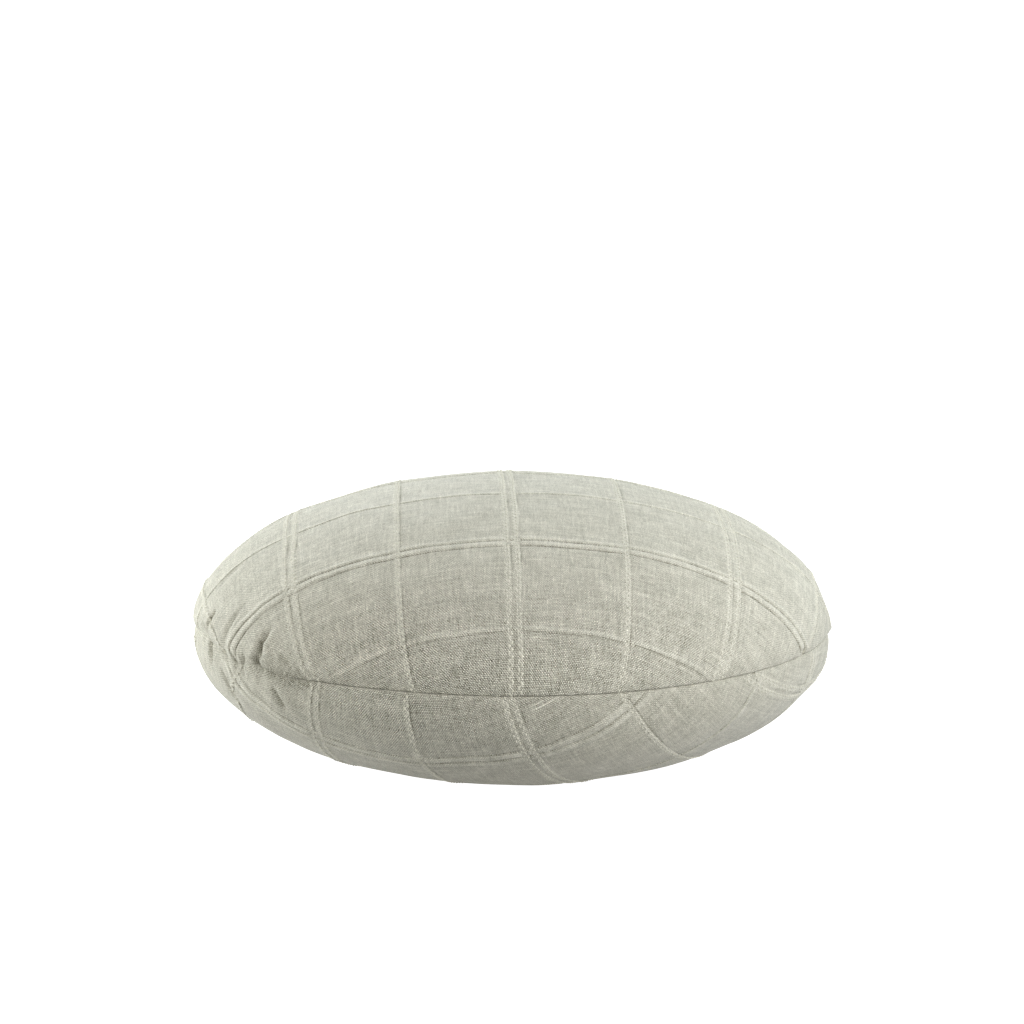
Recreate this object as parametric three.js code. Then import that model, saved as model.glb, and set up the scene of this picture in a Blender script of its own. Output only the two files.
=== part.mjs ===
// Round throw pillow, lying on its back: two round panels of linen-look cloth with a raised window
// check, joined by a seam round the rim and filled. Millimetres, +Z up, the front towards -Y.
import * as THREE from "three";

const seamRadius = 200;
const restRadius = 74; // the patch that lies flat on the surface
const seamGap = 1.6; // between the two panels' edges, in height
const seamOverhang = 0.8; // how far the upper edge stands out past the lower one
const seamDepth = 2.4;

// Each panel's crown over the seam, the power of its profile (2 is an ellipse, more is squarer), the
// turn of its check in degrees, the place of one double stripe each way on the flat cloth, and the
// crosswise band of the flat cloth that holds the puckers.
const abovePanel = {
  way: 1,
  crown: 88,
  power: 2.03,
  checkTurn: 1.5,
  lengthwiseStart: -3.6,
  crosswiseStart: -116,
  puckeredRows: { from: -190, to: -25 },
};
const belowPanel = {
  way: -1,
  crown: 88.6,
  power: 2.11,
  checkTurn: -17.9,
  lengthwiseStart: -68,
  crosswiseStart: -180,
  puckeredRows: { from: -230, to: -100 },
};

// The check: every second stripe is a double one, in both directions.
const lengthwisePitch = 69;
const crosswisePitch = 79.2;
const ribWidth = 4.2;
const ribHeight = 1.1;
const doubleSpacing = 6;
const valleyHeight = 0.2;
const ribFade = 9; // a rib sinks into the seam, and into the flat patch, over this length

// The cloth between the ribs is cut into steps of at most these: long ones over the shallow crown,
// short ones from a share of the rim outwards, and across the puckers.
const crownStep = 32;
const sideStep = 12;
const sideFrom = 0.52;
const puckerStep = 6.5;
const rimStep = 12;
const profileSteps = 240;
const valleyPoints = 120;
const nearRim = 0.6; // a corner of the grid this close to the rim is moved onto it

// The puckers on the left of the seam. turn is measured from the left end towards the front in
// degrees; the rest are millimetres: depth, half width, and the length on each panel.
const puckers = [
  { turn: 10, depth: 2.2, width: 5, above: 18, below: 14 },
  { turn: 22.6, depth: 2.8, width: 5, above: 30, below: 22 },
  { turn: 31, depth: 2.2, width: 6, above: 44, below: 18 },
  { turn: 42, depth: 4.4, width: 6, above: 34, below: 12 },
  { turn: 47.5, depth: 2.6, width: 6, above: 14, below: 34 },
];

// The seam is not quite level: it rises at the puckers and at the right end. turn and width are
// degrees, rise is millimetres, and the cloth beside the seam follows it over the fade.
const seamRises = [
  { turn: 34, rise: 3, width: 9 },
  { turn: 181, rise: 2.6, width: 9 },
];
const riseFade = 16;

const clothColour = 0xc5c4b6;

// The height of a superellipse crown at a share of the seam's radius.
function crownHeight(panel, share) {
  return panel.crown * (1 - share ** panel.power) ** (1 / panel.power);
}

const restHeight = crownHeight(belowPanel, restRadius / seamRadius);

// Smooth step from 0 at zero to 1 at one.
function ease(t) {
  const u = Math.min(Math.max(t, 0), 1);
  return u * u * (3 - 2 * u);
}

// A panel's profile from its middle to the seam: radius and height at each length of cloth.
function profileOf(panel) {
  const isBelow = panel.way < 0;
  const radius = seamRadius - (isBelow ? seamOverhang : 0);
  const highest = isBelow ? restHeight : panel.crown;
  const points = [];
  let length = 0;
  for (let i = 0; i <= profileSteps; i++) {
    const share = Math.min(Math.sin((i / profileSteps) * (Math.PI / 2)), 1);
    const r = share * radius;
    const z = Math.min(crownHeight(panel, share), highest);
    const last = points[points.length - 1];
    if (last) length += Math.hypot(r - last.r, z - last.z);
    points.push({ length, r, z });
  }
  return points;
}

// The profile's point and outward direction at a length of cloth.
function walk(profile, length) {
  let low = 0;
  let high = profile.length - 1;
  while (high - low > 1) {
    const middle = (low + high) >> 1;
    if (profile[middle].length > length) high = middle;
    else low = middle;
  }
  const a = profile[low];
  const b = profile[high];
  const t = Math.min((length - a.length) / (b.length - a.length), 1);
  const run = b.length - a.length;
  return {
    r: a.r + (b.r - a.r) * t,
    z: a.z + (b.z - a.z) * t,
    outR: (a.z - b.z) / run,
    outZ: (b.r - a.r) / run,
  };
}

// The stripes of one direction on the flat cloth, out to its rim.
function stripesOf(start, pitch, rim) {
  const stripes = [];
  const first = Math.ceil((-rim - start) / pitch);
  for (let i = first; start + i * pitch < rim; i++) {
    stripes.push({ at: start + i * pitch, double: i % 2 === 0 });
  }
  return stripes;
}

// The steps of a stripe across its width, with the height of each.
function stripeSteps(stripe) {
  const half = ribWidth / 2;
  const side = doubleSpacing / 2;
  const section = stripe.double
    ? [
        [-side - half, 0],
        [-side, ribHeight],
        [0, valleyHeight],
        [side, ribHeight],
        [side + half, 0],
      ]
    : [
        [-half, 0],
        [0, ribHeight],
        [half, 0],
      ];
  return section.map(([offset, height]) => ({ at: stripe.at + offset, height }));
}

// All grid lines of one direction: the stripes' own steps, and plain steps between them.
function gridLines(stripes, rim, stepAt) {
  const fixed = [
    { at: -rim, height: 0 },
    ...stripes.flatMap(stripeSteps).filter((s) => Math.abs(s.at) < rim - nearRim),
    { at: rim, height: 0 },
  ];
  const lines = [];
  for (let i = 0; i + 1 < fixed.length; i++) {
    const gap = fixed[i + 1].at - fixed[i].at;
    const count = Math.ceil(gap / stepAt(fixed[i].at + gap / 2));
    for (let j = 0; j < count; j++) {
      const height = j === 0 ? fixed[i].height : 0;
      lines.push({ at: fixed[i].at + (gap * j) / count, height });
    }
  }
  lines.push(fixed[fixed.length - 1]);
  return lines;
}

// An angle brought between minus and plus half a turn.
function wrapped(angle) {
  return Math.atan2(Math.sin(angle), Math.cos(angle));
}

// How far the puckers pull the cloth in, at a turn round the rim and a length from it.
function puckerDepth(panel, angle, fromRim) {
  let depth = 0;
  for (const pucker of puckers) {
    const away = wrapped(angle - Math.PI - THREE.MathUtils.degToRad(pucker.turn));
    const across = (away * seamRadius) / pucker.width;
    const reach = panel.way > 0 ? pucker.above : pucker.below;
    depth += pucker.depth * Math.exp(-across * across) * (1 - ease(fromRim / reach));
  }
  return depth;
}

// How far the seam rises from its level circle, at a turn round the rim and a length from it.
function seamRise(angle, fromRim) {
  let rise = 0;
  for (const place of seamRises) {
    const away = wrapped(angle - Math.PI - THREE.MathUtils.degToRad(place.turn));
    const across = THREE.MathUtils.radToDeg(away) / place.width;
    rise += place.rise * Math.exp(-across * across) * Math.exp(-fromRim / riseFade);
  }
  return rise;
}

// A panel as one sheet of triangles: the grid on the flat cloth, cut to the round rim, then laid
// over the crown with its ribs raised and its puckers drawn in.
function panelSheet(panel) {
  const profile = profileOf(panel);
  const rim = profile[profile.length - 1].length;
  const columnStep = (at) => (Math.abs(at) > sideFrom * rim ? sideStep : crownStep);
  const inPuckers = (at) => at > panel.puckeredRows.from && at < panel.puckeredRows.to;
  const rowStep = (at) => (inPuckers(at) ? puckerStep : columnStep(at));
  const lengthwise = stripesOf(panel.lengthwiseStart, lengthwisePitch, rim);
  const crosswise = stripesOf(panel.crosswiseStart, crosswisePitch, rim);
  const columns = gridLines(lengthwise, rim, columnStep);
  const rows = gridLines(crosswise, rim, rowStep);
  const turn = THREE.MathUtils.degToRad(panel.checkTurn);
  const points = [];
  const indexOf = new Map();
  const triangles = [];
  const rimPoints = [];

  function place(x, y, height) {
    const key = `${x.toFixed(5)} ${y.toFixed(5)}`;
    if (indexOf.has(key)) return indexOf.get(key);
    const length = Math.min(Math.hypot(x, y), rim);
    const angle = Math.atan2(y, x) + turn;
    const on = walk(profile, length);
    const fromRest = panel.way < 0 ? ease((on.r - restRadius) / ribFade) : 1;
    const raised = height * ease((rim - length) / ribFade) * fromRest;
    const lift = raised - puckerDepth(panel, angle, rim - length);
    const r = on.r + on.outR * lift;
    const z = panel.way * (on.z + on.outZ * lift) - (panel.way < 0 ? seamGap : 0);
    const rise = seamRise(angle, rim - length);
    const index = points.length;
    points.push([r * Math.cos(angle), r * Math.sin(angle), z + rise]);
    if (rim - length < 1e-6) rimPoints.push({ index, angle: wrapped(angle) });
    indexOf.set(key, index);
    return index;
  }

  // A grid corner with its place and whether it lies inside the rim, on it or outside.
  function corner(column, row) {
    const x = columns[column].at;
    const y = rows[row].at;
    const length = Math.hypot(x, y);
    const height = Math.max(columns[column].height, rows[row].height);
    if (Math.abs(length - rim) > nearRim) return { x, y, height, side: length < rim ? -1 : 1 };
    return { x: (x * rim) / length, y: (y * rim) / length, height, side: 0 };
  }

  // Where a cell's edge leaves the rim's circle.
  function crossing(a, b) {
    const upright = Math.abs(a.y - b.y) > Math.abs(a.x - b.x);
    const held = upright ? (a.side < 0 ? a.x : b.x) : a.side < 0 ? a.y : b.y;
    const free = Math.sqrt(rim * rim - held * held);
    const towards = upright ? a.y + b.y : a.x + b.x;
    const signed = Math.sign(towards) * free;
    return upright ? { x: held, y: signed, side: 0 } : { x: signed, y: held, side: 0 };
  }

  // Points on the rim's arc between two neighbours, which only one cell holds.
  function arcBetween(a, b) {
    const from = Math.atan2(a.y, a.x);
    const span = Math.atan2(a.x * b.y - a.y * b.x, a.x * b.x + a.y * b.y);
    const count = Math.ceil((Math.abs(span) * rim) / rimStep);
    const arc = [];
    for (let i = 1; i < count; i++) {
      const angle = from + (span * i) / count;
      arc.push({ x: rim * Math.cos(angle), y: rim * Math.sin(angle), side: 0 });
    }
    return arc;
  }

  // The part of one grid cell inside the rim, as a ring of corners anticlockwise.
  function cellOutline(column, row) {
    const corners = [
      corner(column, row),
      corner(column + 1, row),
      corner(column + 1, row + 1),
      corner(column, row + 1),
    ];
    if (corners.every((c) => c.side >= 0)) return [];
    const cut = [];
    corners.forEach((a, i) => {
      const b = corners[(i + 1) % corners.length];
      if (a.side <= 0) cut.push(a);
      if (a.side * b.side < 0) cut.push(crossing(a, b));
    });
    return cut.flatMap((a, i) => {
      const b = cut[(i + 1) % cut.length];
      const leavesRim = a.side === 0 && b.side === 0;
      return leavesRim ? [a, ...arcBetween(a, b)] : [a];
    });
  }

  function addTriangle(a, b, c) {
    if (a === b || b === c || c === a) return;
    triangles.push(panel.way > 0 ? [a, b, c] : [a, c, b]);
  }

  for (let column = 0; column + 1 < columns.length; column++) {
    for (let row = 0; row + 1 < rows.length; row++) {
      const outline = cellOutline(column, row);
      const ring = outline.map((c) => place(c.x, c.y, c.height ?? 0));
      const first = outline.findIndex((c) => c.side < 0);
      for (let i = 1; i + 1 < ring.length; i++) {
        const b = (first + i) % ring.length;
        const c = (first + i + 1) % ring.length;
        addTriangle(ring[first], ring[b], ring[c]);
      }
    }
  }
  rimPoints.sort((a, b) => a.angle - b.angle);
  return { points, triangles, rimPoints };
}

// Triangles between two closed rings of points, each sorted by its angle.
function bandBetween(outer, inner, flipped) {
  const triangles = [];
  const angleAt = (ring, i) => ring[i % ring.length].angle + (i >= ring.length ? 2 * Math.PI : 0);
  const indexAt = (ring, i) => ring[i % ring.length].index;
  let i = 0;
  let j = 0;
  while (i < outer.length || j < inner.length) {
    const outerNext = i < outer.length ? angleAt(outer, i + 1) : Infinity;
    const innerNext = j < inner.length ? angleAt(inner, j + 1) : Infinity;
    const a = indexAt(outer, i);
    const b = indexAt(inner, j);
    if (outerNext <= innerNext) {
      const next = indexAt(outer, i + 1);
      triangles.push(flipped ? [a, b, next] : [a, next, b]);
      i += 1;
    } else {
      const next = indexAt(inner, j + 1);
      triangles.push(flipped ? [a, b, next] : [a, next, b]);
      j += 1;
    }
  }
  return triangles;
}

// The filled cushion: both panels, and the valley of the seam between their rims.
function cushionGeometry() {
  const above = panelSheet(abovePanel);
  const below = panelSheet(belowPanel);
  const points = [...above.points, ...below.points];
  const moved = (i) => i + above.points.length;
  const belowRim = below.rimPoints.map((p) => ({ index: moved(p.index), angle: p.angle }));
  const valley = [];
  for (let i = 0; i < valleyPoints; i++) {
    const angle = -Math.PI + (2 * Math.PI * (i + 0.5)) / valleyPoints;
    const r = seamRadius - seamDepth - puckerDepth(abovePanel, angle, 0);
    valley.push({ index: points.length, angle });
    points.push([r * Math.cos(angle), r * Math.sin(angle), seamRise(angle, 0) - seamGap / 2]);
  }
  const triangles = [
    ...above.triangles,
    ...below.triangles.map((t) => t.map(moved)),
    ...bandBetween(above.rimPoints, valley, true),
    ...bandBetween(belowRim, valley, false),
  ];
  const geometry = new THREE.BufferGeometry();
  geometry.setAttribute("position", new THREE.Float32BufferAttribute(points.flat(), 3));
  geometry.setIndex(triangles.flat());
  geometry.computeBoundingBox();
  const box = geometry.boundingBox;
  geometry.translate(-(box.min.x + box.max.x) / 2, -(box.min.y + box.max.y) / 2, -box.min.z);
  geometry.computeVertexNormals();
  return geometry;
}

function clothMaterial() {
  return new THREE.MeshStandardMaterial({ color: clothColour, roughness: 0.95, metalness: 0 });
}

const pillow = new THREE.Group();
const cushion = new THREE.Mesh(cushionGeometry(), clothMaterial());
cushion.name = "cushion";
pillow.add(cushion);

export default pillow;
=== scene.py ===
import math

import bpy
import numpy as np
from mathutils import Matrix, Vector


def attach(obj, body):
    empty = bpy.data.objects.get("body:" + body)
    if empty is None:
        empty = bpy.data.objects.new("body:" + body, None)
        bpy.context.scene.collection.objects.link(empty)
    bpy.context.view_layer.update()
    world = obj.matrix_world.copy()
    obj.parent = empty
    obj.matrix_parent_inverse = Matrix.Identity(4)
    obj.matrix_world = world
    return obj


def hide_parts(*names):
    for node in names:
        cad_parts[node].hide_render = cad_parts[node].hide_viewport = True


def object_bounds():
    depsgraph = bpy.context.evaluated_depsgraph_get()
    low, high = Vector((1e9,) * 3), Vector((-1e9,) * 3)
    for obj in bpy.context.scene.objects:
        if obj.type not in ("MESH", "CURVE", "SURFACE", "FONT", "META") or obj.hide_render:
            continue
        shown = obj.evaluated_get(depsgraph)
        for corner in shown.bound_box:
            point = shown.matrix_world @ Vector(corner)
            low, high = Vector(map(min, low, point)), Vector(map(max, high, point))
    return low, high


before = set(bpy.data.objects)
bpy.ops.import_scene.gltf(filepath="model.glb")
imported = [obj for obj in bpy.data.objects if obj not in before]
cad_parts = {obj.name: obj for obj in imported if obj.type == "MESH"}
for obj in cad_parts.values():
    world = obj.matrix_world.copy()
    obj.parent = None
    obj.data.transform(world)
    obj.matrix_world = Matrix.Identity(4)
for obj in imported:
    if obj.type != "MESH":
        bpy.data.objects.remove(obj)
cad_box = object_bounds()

# The cover. Two round panels of light linen-look cloth, cut flat, sewn together round the rim right
# sides facing, turned out and filled, so the seam is a fine valley with the upper edge rolling over
# it.
mm = 0.001
crown_above_seam = 0.0891
seam_height = cad_box[1][2] - crown_above_seam
seam_radius = 200.0
rest_radius = 74.0
seam_gap = 1.0
seam_overhang = 0.8

# The rings of the edge that is turned in at the seam: how far in, and how far towards the other panel.
turned_rings = ((0.3, 0.22), (0.8, 0.38), (1.6, 0.44), (2.6, 0.48))

# Creases where the cloth is caught in the seam: most on the left, one at the right end. Each is a
# path, a depth, a half width to its left and to its right, and the height of the fold on its right.
# A path is pairs of degrees from the left end round the front and millimetres up from the seam.
upper_creases = (
    (((17, 60), (16.4, 44), (17, 28)), 0.9, 3, 3, 0.3),
    (((22.7, 24), (22.6, 16), (21.8, 5)), 3, 1.7, 1.9, 0.5),
    (((14, 13), (20.6, 7.5), (25, 4)), 1.2, 1.6, 2, 0.5),
    (((32.2, 39), (31.2, 26), (30.8, 16), (30.2, 2)), 1.1, 3, 2.4, 0.5),
    (((43.4, 27), (42.4, 20), (41.7, 15), (42, 8), (41, 4), (41.4, 0)), 2.9, 2.4, 1.9, 0.5),
    (((33.4, 6), (34.7, 0)), 1.5, 1.6, 1.5, 0.3),
    (((37.8, 6), (37, 0)), 1.8, 1.8, 1.6, 0.3),
    (((46.6, 12), (48.6, 9.4), (51, 7.5)), 1.2, 1.8, 1.6, 0.4),
    (((151, 5), (151.8, 0)), 2.4, 1.8, 1.8, 0.3),
)
lower_creases = (
    (((23.6, 0), (23.8, 4), (22.8, 12)), 2.7, 3, 3.4, 0.5),
    (((28.4, 0), (29.1, 7)), 1, 1.2, 1.2, 0.4),
    (((28.4, 5), (29.7, 19), (30.8, 35)), 1.6, 3, 3, 0.5),
    (((36.6, 0), (37.4, 8)), 1.2, 1.6, 1.6, 0.3),
    (((44.6, 5), (46, 13), (48, 25)), 2.1, 2.6, 1.9, 0.6),
    (((20, 12), (22.8, 19)), 0.8, 1.2, 1.6, 0.3),
)

# Pushes are places near the seam where something changes. Each is a size, a middle and a width in
# degrees from the left end round the front, a height above the seam and a reach up and down from
# there in millimetres, and how it fades: 1 sharply, 2 roundly. Rises lift the seam line, draws pull
# the cloth in, slides ease it along the seam, ears push it outward, and pulls open its weave. On the
# left the gathers are larger and one place gets a painted shadow.
seam_rises = (
    (6.0, 20, 10, 0, 16, 1),
    (2.4, 40.5, 4.5, 0, 16, 1),
    (-1.2, 48, 4, 0, 16, 1),
    (-2.0, 35.5, 3.5, 0, 16, 1),
    (-1.8, 178, 7, 0, 16, 1),
)
seam_closings = ((0.85, 31, 13, 0, 8, 1), (-0.8, 171, 11, 0, 8, 1))
left_draws = ((-0.9, 2, 24, 0, 40, 2), (1.8, 12, 12, 0, 5, 1))
left_gathers = ((0.2, 30, 16, 0, 10, 1),)
left_shadow = ((0.95, 48, 9, 0, 4.5, 2),)

# What differs between the panels. A hollow is degrees, millimetres up from the seam, reach and depth.
above_panel = {
    "way": 1,
    "crown": 88.9,
    "power": 1.99,
    "check_turn": math.radians(1.5),
    "lengthwise_start": -3.6,
    "crosswise_start": -116.0,
    "creased_columns": (-236, -148),
    "creased_rows": (-186, -40),
    "creases": upper_creases,
    "hollows": ((68, 12, 14, 0.8),),
    "roll_size": 1.0,
    "roll_reach": 3.8,
    "rises": seam_rises,
    "draws": ((2.0, 72, 18, 0, 7, 2),) + left_draws,
    "slides": ((15.5, 15, 12, 0, 62, 1), (2.2, 42, 12, 0, 90, 1), (6.0, 33, 9, 0, 5, 2)),
    "ears": ((2.0, 176.5, 5, 0, 5, 1), (-1.2, 179, 12, 17, 12, 2)),
    "pulls": ((1.15, 86, 31, 0, 44, 2),),
    "openness_inside": 0.32,
    "openness_outside": 0.56,
    "nips": (1.0, 1.0),
    "seed": 3,
}
below_panel = {
    "way": -1,
    "crown": 88.6,
    "power": 2.11,
    "check_turn": math.radians(-17.9),
    "lengthwise_start": -68.0,
    "crosswise_start": -180.0,
    "creased_columns": (-200, -85),
    "creased_rows": (-226, -128),
    "creases": lower_creases,
    "hollows": ((74.4, 30, 12, 1.6), (80, 46, 20, 1.2)),
    "roll_size": 0.5,
    "roll_reach": 1.8,
    "rises": seam_rises + seam_closings,
    "draws": left_draws,
    "slides": ((-5.0, 34, 8, 18, 13, 2),),
    "ears": ((-3.2, 176.5, 5, 0, 5, 1), (2.3, 176, 14, 26, 17, 2)),
    "pulls": ((0.95, 75, 27, 0, 46, 2),),
    "openness_inside": 0.50,
    "openness_outside": 0.50,
    "nips": (0.5, 1.25),
    "seed": 8,
}


def ease(t):
    """Smooth step from 0 at zero to 1 at one."""
    t = np.clip(t, 0, 1)
    return t * t * (3 - 2 * t)


def bell(t, middle, width, power=2):
    """1 at the middle, falling away smoothly on both sides. A higher power gives a flatter top."""
    return np.exp(-((np.abs(t - middle) / width) ** power))


def pushes_at(turn, up, pushes):
    """The sum of the pushes at each place."""
    total = np.zeros_like(turn)
    for size, middle, width, height, reach, power in pushes:
        across = bell(turn, math.radians(middle), math.radians(width))
        total += size * across * bell(up, height, reach, power)
    return total


# The panels' sections. The lower one is pressed flat where it rests, with a soft edge, and has its
# free form from free_share of the radius outward.
section_points = 3000
rest_softness = 0.8
free_share = 0.7


def crown_height(panel, share):
    """The height of the crown over the seam at a share of the seam's radius."""
    return panel["crown"] * np.clip(1 - share ** panel["power"], 0, 1) ** (1 / panel["power"])


def profile_of(panel):
    """The panel's section: cloth length from the middle, radius, height, and outward direction."""
    share = np.sin(np.linspace(0, math.pi / 2, section_points))
    radius = share * (seam_radius - (seam_overhang if panel["way"] < 0 else 0))
    height = crown_height(panel, share)
    if panel["way"] < 0:
        flat = crown_height(panel, rest_radius / seam_radius)
        pressed = flat - rest_softness * np.logaddexp(0, (flat - height) / rest_softness)
        height = np.where(share > free_share, height, pressed)
    steps = np.hypot(np.diff(radius), np.diff(height))
    length = np.concatenate([[0], np.cumsum(steps)])
    along_r = np.gradient(radius, length)
    along_z = np.gradient(height, length)
    return {"length": length, "r": radius, "z": height, "out_r": -along_z, "out_z": along_r}


# The window check, in millimetres on the flat cloth.
lengthwise_pitch = 69.0
crosswise_pitch = 79.2
cord_spacing = 6.0
tuck_spacing = 6.3
tuck_kinds = {
    "front": {"ridge": 0.75, "half": 2.6, "nip": 0.46},
    "back": {"ridge": 0.60, "half": 1.95, "nip": 0.36},
    "single": {"ridge": 0.55, "half": 1.45, "nip": 0.32},
}
deepest_nip = 0.46


def stripes_of(start, pitch, rim):
    """The places of one direction's stripes on the flat cloth, and whether each is double."""
    first = math.ceil((-rim - start) / pitch)
    last = math.floor((rim - start) / pitch)
    return [(start + i * pitch, i % 2 == 0) for i in range(first, last + 1)]


def cords_of(panel, rim):
    """The middle of every lengthwise cord, two for a double stripe, and whether it lies alone."""
    cords = []
    for place, is_double in stripes_of(panel["lengthwise_start"], lengthwise_pitch, rim):
        if is_double:
            cords.append((place - cord_spacing / 2, False))
            cords.append((place + cord_spacing / 2, False))
        else:
            cords.append((place, True))
    return cords


def tucks_of(panel, rim):
    """The middle and the kind of every crosswise tuck, two for a double stripe."""
    tucks = []
    for place, is_double in stripes_of(panel["crosswise_start"], crosswise_pitch, rim):
        if is_double:
            tucks.append((place - tuck_spacing / 2, tuck_kinds["front"]))
            tucks.append((place + tuck_spacing / 2, tuck_kinds["back"]))
        else:
            tucks.append((place, tuck_kinds["single"]))
    return tucks


# The grid on the flat cloth. Its lines lie closest across the cords' beds, the tucks' nips and the
# creases. Elsewhere plain_steps gives the distance between them, by the distance from the middle.
bed_lines = (-2.7, -2.0, -1.0, 0.2, 1.4, 2.05, 2.4, 2.75, 3.3)
nip_offset = 0.5
nip_lines = (-0.7, -0.33, 0.0, 0.33)
ridge_lines = (-0.8, -0.35, 0.25, 0.75, 1.08, 1.5)
crease_step = 1.4
plain_steps = ((0, 90, 170, 230), (5.0, 4.2, 3.0, 2.2))
closest_lines = 0.2
near_rim = 0.25


def tuck_rows(centre, kind):
    """The grid lines that one tuck needs, closest over its nip."""
    nip = kind["half"] + nip_offset
    over_nip = [centre + (t - nip) for t in nip_lines]
    return over_nip + [centre + t * kind["half"] for t in ridge_lines]


def grid_lines(needed, rim, creased):
    """Grid lines of one direction: the needed ones, and more between them."""
    fixed = [-rim] + sorted(at for at in needed if abs(at) < rim - near_rim) + [rim]
    lines = [fixed[0]]
    for low, high in zip(fixed, fixed[1:]):
        if high - low < closest_lines:
            continue
        at = lines[-1]
        while at < high - closest_lines:
            step = crease_step if creased[0] < at < creased[1] else np.interp(abs(at), *plain_steps)
            count = max(1, round((high - at) / step))
            at = at + (high - at) / count
            lines.append(at)
    return np.array(lines)


def cell_corners(grid):
    """The four corner values of each cell of a grid."""
    return np.stack([grid[:-1, :-1], grid[1:, :-1], grid[1:, 1:], grid[:-1, 1:]], -1)


def leaving_point(x, y, inside, outside, rim):
    """Where the grid line from a corner inside the rim to one outside it crosses the rim."""
    if inside[0] == outside[0]:
        held = x[inside]
        return held, math.copysign(math.sqrt(rim * rim - held * held), y[inside] + y[outside])
    held = y[inside]
    return math.copysign(math.sqrt(rim * rim - held * held), x[inside] + x[outside]), held


def cut_round(columns, rows, rim):
    """The grid on the flat cloth, cut to its round rim: places, faces and the rim's point numbers."""
    x, y = np.meshgrid(columns, rows, indexing="ij")
    length = np.hypot(x, y)
    on_rim = np.abs(length - rim) < near_rim
    x = np.where(on_rim, x * rim / np.maximum(length, 1), x)
    y = np.where(on_rim, y * rim / np.maximum(length, 1), y)
    side = np.where(on_rim, 0, np.sign(length - rim)).astype(int)
    kept = side <= 0
    number = np.full(side.shape, -1)
    number[kept] = np.arange(kept.sum())
    corners = cell_corners(number)
    faces = [tuple(c) for c in corners[(corners >= 0).all(-1)].tolist()]
    base = int(kept.sum())
    extra = []
    crossings = {}

    def crossing(a, b):
        """The number of the rim point between two corners, made once for both cells."""
        key = (min(a, b), max(a, b))
        if key not in crossings:
            inside, outside = (a, b) if side[a] < 0 else (b, a)
            crossings[key] = base + len(extra)
            extra.append(leaving_point(x, y, inside, outside, rim))
        return crossings[key]

    sides = cell_corners(side)
    for i, j in np.argwhere((sides < 0).any(-1) & (sides > 0).any(-1)):
        ring = [(i, j), (i + 1, j), (i + 1, j + 1), (i, j + 1)]
        outline = []
        for a, b in zip(ring, ring[1:] + ring[:1]):
            if side[a] <= 0:
                outline.append(int(number[a]))
            if side[a] * side[b] < 0:
                outline.append(crossing(a, b))
        if len(outline) >= 3:
            faces.append(tuple(outline))
    places = np.concatenate([np.stack([x[kept], y[kept]], 1), np.array(extra).reshape(-1, 2)])
    rim_points = np.flatnonzero(np.abs(np.hypot(places[:, 0], places[:, 1]) - rim) < 1e-6)
    return places, faces, rim_points


# How creases are laid: how far round and how high up they reach at most, the share of their length
# over which an end fades unless it is at the seam, how far the fold beside one lies, and the depth
# at which the painted shade in a crease is full. Near the seam the radius falls by radius_fall for
# each millimetre up.
crease_reach = 45
crease_top = 60
at_seam = 1
fade_share = 0.45
fade_start = 0.05
fold_offset = 0.6
fold_widths = 2.2
fold_spread = 1.1
full_shade_depth = 3
radius_fall = 0.25


def along_path(px, py, corners):
    """How far each place is to the right of a path, and its share of the way along it."""
    starts = np.cumsum([0] + [math.dist(a, b) for a, b in zip(corners, corners[1:])])
    best = np.full(len(px), np.inf)
    away = np.zeros(len(px))
    along = np.zeros(len(px))
    for (ax, ay), (bx, by), start in zip(corners, corners[1:], starts):
        long = math.hypot(bx - ax, by - ay)
        tx = (bx - ax) / long
        ty = (by - ay) / long
        t = (px - ax) * tx + (py - ay) * ty
        held = np.clip(t, 0, long)
        distance = np.hypot(px - ax - held * tx, py - ay - held * ty)
        side = (px - ax) * ty - (py - ay) * tx
        if by < ay:
            side = -side
        closer = distance < best
        best = np.where(closer, distance, best)
        away = np.where(closer, side, away)
        along = np.where(closer, start + t, along)
    return away, along / starts[-1]


def crease_shape(panel, turn, up, radius):
    """How far the creases by the seam lower or raise the cloth, and the painted shade deep in them."""
    lift = np.zeros_like(turn)
    deep = np.zeros_like(turn)
    for path, depth, left, right, ridge in panel["creases"]:
        middle = math.radians(path[0][0])
        px = (turn - middle) * radius
        near = np.flatnonzero((np.abs(px) < crease_reach) & (up < crease_top))
        corners = [((math.radians(t) - middle) * (seam_radius - radius_fall * u), u) for t, u in path]
        away, share = along_path(px[near], up[near], corners)
        strength = 1.0
        for end, left_over in ((path[0], share), (path[-1], 1 - share)):
            if end[1] >= at_seam:
                strength = strength * ease(left_over / fade_share + fade_start)
        trough = bell(away, 0, np.where(away < 0, left, right))
        fold = fold_widths * right + fold_offset
        lift[near] += strength * (ridge * bell(away, fold, fold_spread * fold) - depth * trough)
        deep[near] = np.maximum(deep[near], strength * trough * depth / full_shade_depth)
    return lift, deep


# The filling's unevenness: sizes, and shortest and longest waves. The seam's gathers: how many waves
# go round the rim, how high they are everywhere, and how far up they reach. Where the pillow rests,
# all this fades out over rest_blend, and the cloth lies pressed_flat above the floor, on its cords.
fill_waves = ((0.09, 50, 120), (0.02, 18, 36))
waves_each = 14
fill_fade = 40
gather_counts = (38, 53, 71, 97)
gather_size = 0.06
gather_reach = 10
gather_seed = 21
rest_blend = 14
pressed_flat = 0.3


def hollow_lift(panel, turn, up):
    """Shallow hollows near the seam where the filling is thin."""
    lift = np.zeros_like(turn)
    for at_turn, at_up, reach, depth in panel["hollows"]:
        across = (turn - math.radians(at_turn)) * seam_radius
        lift -= depth * np.exp(-((across**2 + (up - at_up) ** 2) / reach**2))
    return lift


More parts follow.
